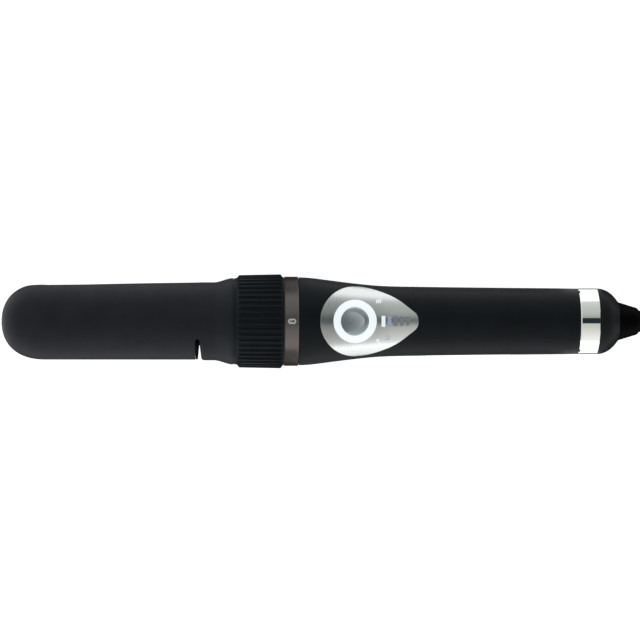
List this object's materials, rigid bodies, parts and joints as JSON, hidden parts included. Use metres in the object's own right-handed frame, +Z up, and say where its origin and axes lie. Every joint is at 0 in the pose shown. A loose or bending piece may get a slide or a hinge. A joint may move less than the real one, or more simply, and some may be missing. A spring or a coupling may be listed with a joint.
{
  "type": "curling iron",
  "caption": "Curling iron with an open-sided domed heat shield on a ribbed twist-lock collar, round grip with a lit teardrop control panel, swivel cord tied in a hank.",
  "frame": {"origin": "on the surface the iron lies on, under the middle of the iron without its cord", "axes": "+X from the shield tip towards the cord, +Y across the iron, +Z up; the control panel faces up"},
  "size_m": [0.573, 0.0542, 0.0481],
  "materials": {
    "soft_black": "soft-touch satin",
    "liner_black": "moulded matt",
    "ribbed_black": "moulded satin",
    "heatproof_black": "moulded matt",
    "boot_black": "flexible matt",
    "bronze_paint": "metallic satin paint",
    "polished_chrome": "polished",
    "brushed_panel": "brushed across",
    "button_metal": "fine satin",
    "titanium_coat": "polished titanium coating",
    "core_aluminium": "extruded",
    "white_ceramic": "fired",
    "bead_glass": "clear bead",
    "mica": "pressed flake",
    "white_silicone": "silicone sleeve",
    "plain_steel": "zinc plated",
    "black_steel": "black zinc",
    "label_foil": "blank printed foil",
    "light_guide": "lit white",
    "mark_lens": "clear, partly lit",
    "led_white": "moulded",
    "black_plastic": "moulded",
    "white_plastic": "moulded",
    "board_green": "solder mask",
    "capacitor_yellow": "moulded",
    "capacitor_black": "sleeve",
    "grey_ribbon": "flat cable",
    "lead_blue": "PVC sleeve",
    "contact_brass": "spring temper",
    "cord_black": "matt PVC",
    "tie_fabric": "hook and loop",
    "plug_black": "moulded PVC",
    "blade_nickel": "nickel plated"
  },
  "bodies": {
    "lead": {"cord_run": "cord_black", "cord_hank": "cord_black", "cord_tail": "cord_black", "hank_tie": "tie_fabric", "plug_body": "plug_black", "plug_blades": "blade_nickel", "cord_boot": "boot_black", "strain_relief": "cord_black", "swivel_core": "black_plastic", "slip_rings": "contact_brass"},
    "handle": {"barrel": "titanium_coat", "barrel_tip_cap": "heatproof_black", "heater_core_upper": "core_aluminium", "heater_core_lower": "core_aluminium", "ceramic_heater": "white_ceramic", "thermal_fuse": "plain_steel", "thermistor": "bead_glass", "heater_leads": "white_silicone", "barrel_holder": "heatproof_black", "barrel_screws": "plain_steel", "mica_washer": "mica", "friction_washer": "plain_steel", "index_ring": "bronze_paint", "handle_top_cover": "soft_black", "handle_bottom_cover": "soft_black", "handle_screws": "black_steel", "rating_label": "label_foil", "trim_band": "polished_chrome", "end_cap": "soft_black", "control_bezel": "brushed_panel", "light_ring": "light_guide", "level_lens": "mark_lens", "icon_lens_heat": "light_guide", "icon_lens_turn": "light_guide", "button_spring": "plain_steel", "tactile_switch": "black_plastic", "control_board": "board_green", "panel_leds": "led_white", "main_board": "board_green", "board_screws": "plain_steel", "microcontroller": "black_plastic", "triac": "black_plastic", "filter_capacitor": "capacitor_yellow", "smoothing_capacitor": "capacitor_black", "wire_connectors": "white_plastic", "ribbon_cable": "grey_ribbon", "mains_leads": "lead_blue", "swivel_housing": "heatproof_black", "brush_contacts": "contact_brass"},
    "shield": {"shield_shell": "soft_black", "shield_liner": "liner_black", "lock_collar": "ribbed_black", "bayonet_ring": "heatproof_black"},
    "power_button": {"button_cap": "button_metal", "switch_plunger": "black_plastic"}
  },
  "joints": [
    {"name": "cord_swivel", "type": "hinge", "parent": "lead", "child": "handle", "pos_m": [0.11172, 0, 0.01682], "axis": [0.999, 0, -0.0444], "continuous": true},
    {"name": "collar_turn", "type": "hinge", "parent": "handle", "child": "shield", "pos_m": [-0.04812, 0, 0.02393], "axis": [-0.999, 0, 0.0444], "range_deg": [0, 45]},
    {"name": "power_button_press", "type": "slide", "parent": "handle", "child": "power_button", "axis": [-0.0444, 0, -0.999], "range_m": [0, 0.0008], "stiffness_N_per_m": 1500, "springref_m": -0.0006, "deforming": ["button_spring"]}
  ]
}
